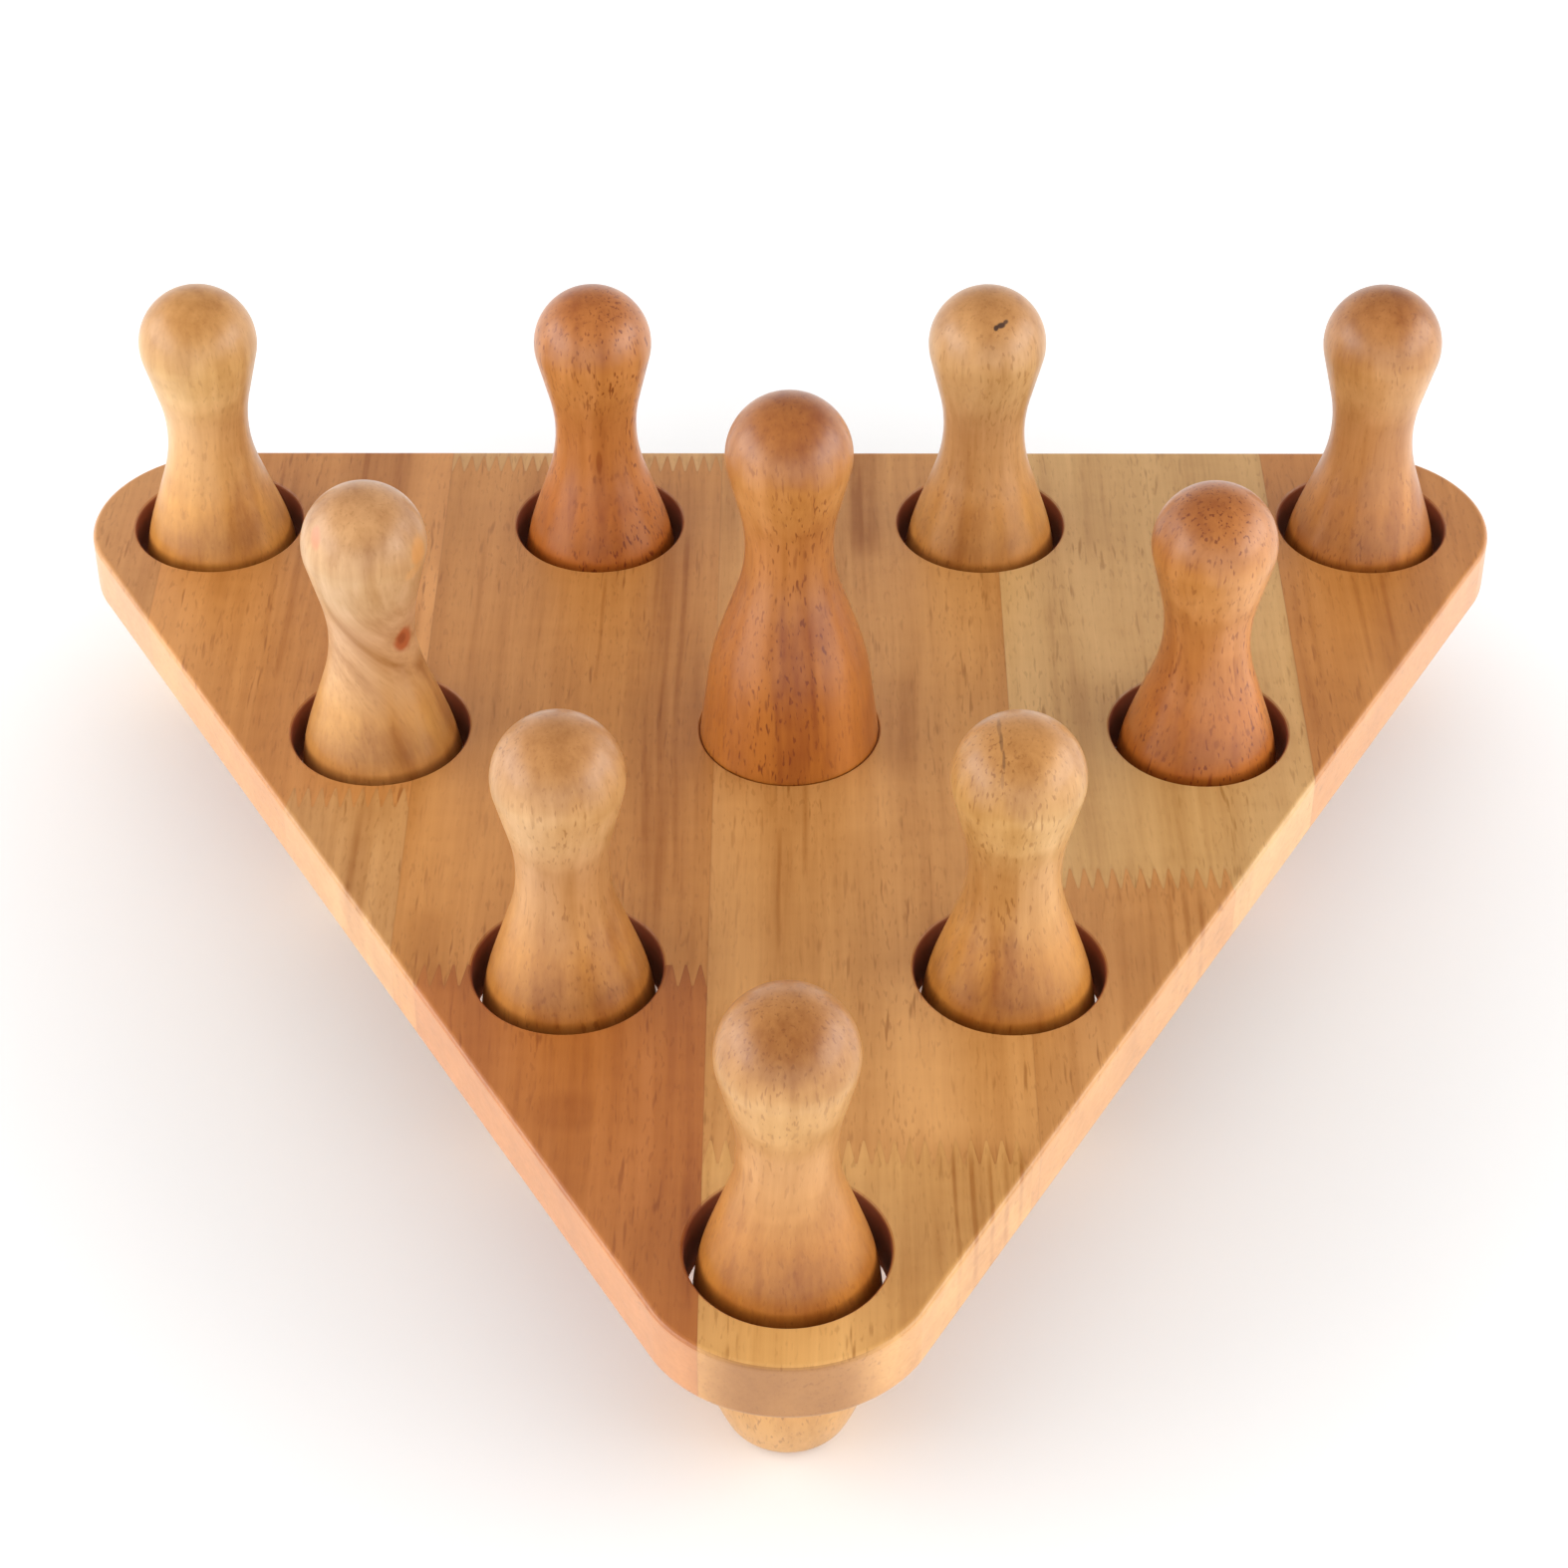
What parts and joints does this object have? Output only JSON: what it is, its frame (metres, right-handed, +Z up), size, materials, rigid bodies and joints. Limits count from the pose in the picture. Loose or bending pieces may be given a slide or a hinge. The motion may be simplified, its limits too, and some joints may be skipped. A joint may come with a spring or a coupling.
{
  "type": "kids bowling set",
  "caption": "Wooden children's bowling set: a rounded triangular board with a turned handle in the middle, standing over loose turned pins that pass through its round holes.",
  "frame": {"origin": "centre of the handle's flat foot, on the floor", "axes": "+X to the right seen from the front pin, +Y towards the back row of pins, +Z up; the front pin and the board's nose lie towards -Y"},
  "size_m": [0.4212, 0.3748, 0.168],
  "materials": {
    "stave_1": "clear satin lacquer on solid wood",
    "stave_2_back": "clear satin lacquer on solid wood",
    "stave_2_front": "clear satin lacquer on solid wood",
    "stave_3_back": "clear satin lacquer on solid wood",
    "stave_3_middle": "clear satin lacquer on solid wood",
    "stave_3_front": "clear satin lacquer on solid wood",
    "stave_4_back": "clear satin lacquer on solid wood",
    "stave_4_front": "clear satin lacquer on solid wood",
    "stave_5_back": "clear satin lacquer on solid wood",
    "stave_5_front": "clear satin lacquer on solid wood",
    "stave_6": "clear satin lacquer on solid wood",
    "handle_pin": "clear satin lacquer on solid wood",
    "pin_1": "clear satin lacquer on solid wood",
    "pin_2": "clear satin lacquer on solid wood",
    "pin_3": "clear satin lacquer on solid wood",
    "pin_4": "clear satin lacquer on solid wood",
    "pin_6": "clear satin lacquer on solid wood",
    "pin_7": "clear satin lacquer on solid wood",
    "pin_8": "clear satin lacquer on solid wood",
    "pin_9": "clear satin lacquer on solid wood",
    "pin_10": "clear satin lacquer on solid wood"
  },
  "bodies": {
    "board": {"stave_1": "stave_1", "stave_2_back": "stave_2_back", "stave_2_front": "stave_2_front", "stave_3_back": "stave_3_back", "stave_3_middle": "stave_3_middle", "stave_3_front": "stave_3_front", "stave_4_back": "stave_4_back", "stave_4_front": "stave_4_front", "stave_5_back": "stave_5_back", "stave_5_front": "stave_5_front", "stave_6": "stave_6", "handle_pin": "handle_pin"},
    "pin_1": {"pin_1": "pin_1"},
    "pin_2": {"pin_2": "pin_2"},
    "pin_3": {"pin_3": "pin_3"},
    "pin_4": {"pin_4": "pin_4"},
    "pin_6": {"pin_6": "pin_6"},
    "pin_7": {"pin_7": "pin_7"},
    "pin_8": {"pin_8": "pin_8"},
    "pin_9": {"pin_9": "pin_9"},
    "pin_10": {"pin_10": "pin_10"}
  },
  "joints": [
    {"name": "pin_1_lift", "type": "slide", "parent": "board", "child": "pin_1", "axis": [0, 0, 1], "range_m": [-0.1, 0.06]},
    {"name": "pin_2_lift", "type": "slide", "parent": "board", "child": "pin_2", "axis": [0, 0, 1], "range_m": [-0.1, 0.06]},
    {"name": "pin_3_lift", "type": "slide", "parent": "board", "child": "pin_3", "axis": [0, 0, 1], "range_m": [-0.1, 0.06]},
    {"name": "pin_4_lift", "type": "slide", "parent": "board", "child": "pin_4", "axis": [0, 0, 1], "range_m": [-0.1, 0.06]},
    {"name": "pin_6_lift", "type": "slide", "parent": "board", "child": "pin_6", "axis": [0, 0, 1], "range_m": [-0.1, 0.06]},
    {"name": "pin_7_lift", "type": "slide", "parent": "board", "child": "pin_7", "axis": [0, 0, 1], "range_m": [-0.1, 0.06]},
    {"name": "pin_8_lift", "type": "slide", "parent": "board", "child": "pin_8", "axis": [0, 0, 1], "range_m": [-0.1, 0.06]},
    {"name": "pin_9_lift", "type": "slide", "parent": "board", "child": "pin_9", "axis": [0, 0, 1], "range_m": [-0.1, 0.06]},
    {"name": "pin_10_lift", "type": "slide", "parent": "board", "child": "pin_10", "axis": [0, 0, 1], "range_m": [-0.1, 0.06]}
  ]
}
